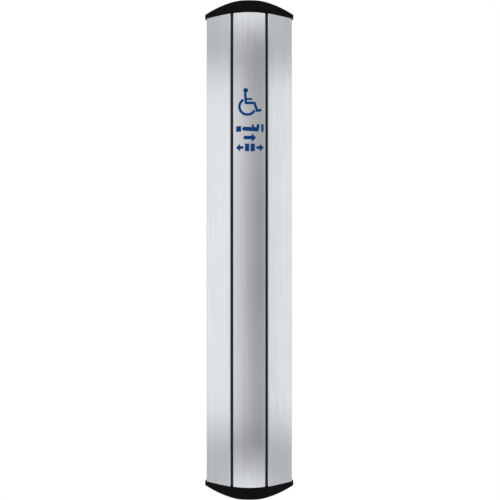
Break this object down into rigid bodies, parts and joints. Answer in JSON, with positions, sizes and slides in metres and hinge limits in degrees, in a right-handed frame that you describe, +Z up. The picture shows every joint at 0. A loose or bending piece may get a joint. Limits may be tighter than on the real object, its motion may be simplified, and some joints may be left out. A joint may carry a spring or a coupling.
{
  "type": "full-length press bar for a powered door",
  "caption": "Wall-mounted full-length press bar for a powered door: crowned sprung bar between two wing panels, arched end caps, switches inside.",
  "frame": {"origin": "centre of the flat rear mounting face, midway between the ends and the sides, on the wall's surface", "axes": "+Z up along the length, +Y into the wall, +X to the right as seen from the front; the bar faces -Y"},
  "size_m": [0.166, 0.0392, 0.9144],
  "materials": {
    "anodised_aluminium": "clear anodised, brushed along its length",
    "bar_anodised": "clear anodised, brushed along its length",
    "mill_aluminium": "mill finish extrusion",
    "cap_plastic": "moulded, fine grain",
    "seal_rubber": "soft, matt",
    "black_rubber": "matt",
    "stainless": "plain stainless steel",
    "zinc_steel": "bright zinc plated",
    "spring_steel": "drawn spring wire",
    "acetal": "natural white acetal",
    "switch_black": "moulded",
    "switch_red": "moulded",
    "terminal_metal": "tin-washed brass",
    "nylon_white": "moulded nylon",
    "wire_red": "extruded insulation",
    "blue_film": "printed film"
  },
  "bodies": {
    "housing": {"base_plate": "mill_aluminium", "bottom_cap_screws": "stainless", "bottom_end_cap": "cap_plastic", "cable_grommet": "black_rubber", "guide_post_bottom": "stainless", "guide_post_lower": "stainless", "guide_post_top": "stainless", "guide_post_upper": "stainless", "left_gap_seal": "seal_rubber", "left_wing_panel": "anodised_aluminium", "lower_bracket_screws": "zinc_steel", "lower_switch_bracket": "zinc_steel", "lower_switch_case": "switch_black", "lower_switch_lever_pin": "stainless", "lower_switch_nuts": "zinc_steel", "lower_switch_screws": "zinc_steel", "lower_switch_terminals": "terminal_metal", "lower_switch_wires": "wire_red", "return_spring_bottom": "spring_steel", "return_spring_lower": "spring_steel", "return_spring_top": "spring_steel", "return_spring_upper": "spring_steel", "right_gap_seal": "seal_rubber", "right_wing_panel": "anodised_aluminium", "rubber_buffers": "black_rubber", "terminal_block": "nylon_white", "terminal_block_screw": "zinc_steel", "terminal_clamp_screws": "zinc_steel", "top_cap_screws": "stainless", "top_end_cap": "cap_plastic", "upper_bracket_screws": "zinc_steel", "upper_switch_bracket": "zinc_steel", "upper_switch_case": "switch_black", "upper_switch_lever_pin": "stainless", "upper_switch_nuts": "zinc_steel", "upper_switch_screws": "zinc_steel", "upper_switch_terminals": "terminal_metal", "upper_switch_wires": "wire_red", "wire_clips": "nylon_white"},
    "bar": {"action_symbols": "blue_film", "block_grub_screws": "zinc_steel", "guide_block_bottom": "acetal", "guide_block_lower": "acetal", "guide_block_top": "acetal", "guide_block_upper": "acetal", "lower_striker": "acetal", "lower_striker_screw": "zinc_steel", "push_bar": "bar_anodised", "upper_striker": "acetal", "upper_striker_screw": "zinc_steel", "wheelchair_symbol": "blue_film"},
    "upper_lever": {"upper_switch_lever": "stainless"},
    "upper_plunger": {"upper_switch_plunger": "switch_red"},
    "lower_lever": {"lower_switch_lever": "stainless"},
    "lower_plunger": {"lower_switch_plunger": "switch_red"}
  },
  "joints": [
    {"name": "push_bar_travel", "type": "slide", "parent": "housing", "child": "bar", "axis": [0, 1, 0], "range_m": [0, 0.003], "stiffness_N_per_m": 3200, "springref_m": -0.0035, "deforming": ["return_spring_bottom", "return_spring_lower", "return_spring_top", "return_spring_upper"]},
    {"name": "upper_lever_swing", "type": "hinge", "parent": "housing", "child": "upper_lever", "pos_m": [0, -0.027, 0.2675], "axis": [1, 0, 0], "range_deg": [0, 7.86]},
    {"name": "upper_plunger_travel", "type": "slide", "parent": "housing", "child": "upper_plunger", "axis": [0, 1, 0], "range_m": [0, 0.00137]},
    {"name": "lower_lever_swing", "type": "hinge", "parent": "housing", "child": "lower_lever", "pos_m": [0, -0.027, -0.2675], "axis": [-1, 0, 0], "range_deg": [0, 7.86]},
    {"name": "lower_plunger_travel", "type": "slide", "parent": "housing", "child": "lower_plunger", "axis": [0, 1, 0], "range_m": [0, 0.00137]}
  ],
  "couplings": [
    {"joint": "upper_lever_swing", "follows": "push_bar_travel", "rad_per_m": 45.455},
    {"joint": "upper_plunger_travel", "follows": "push_bar_travel", "ratio": 0.455},
    {"joint": "lower_lever_swing", "follows": "push_bar_travel", "rad_per_m": 45.455},
    {"joint": "lower_plunger_travel", "follows": "push_bar_travel", "ratio": 0.455}
  ]
}
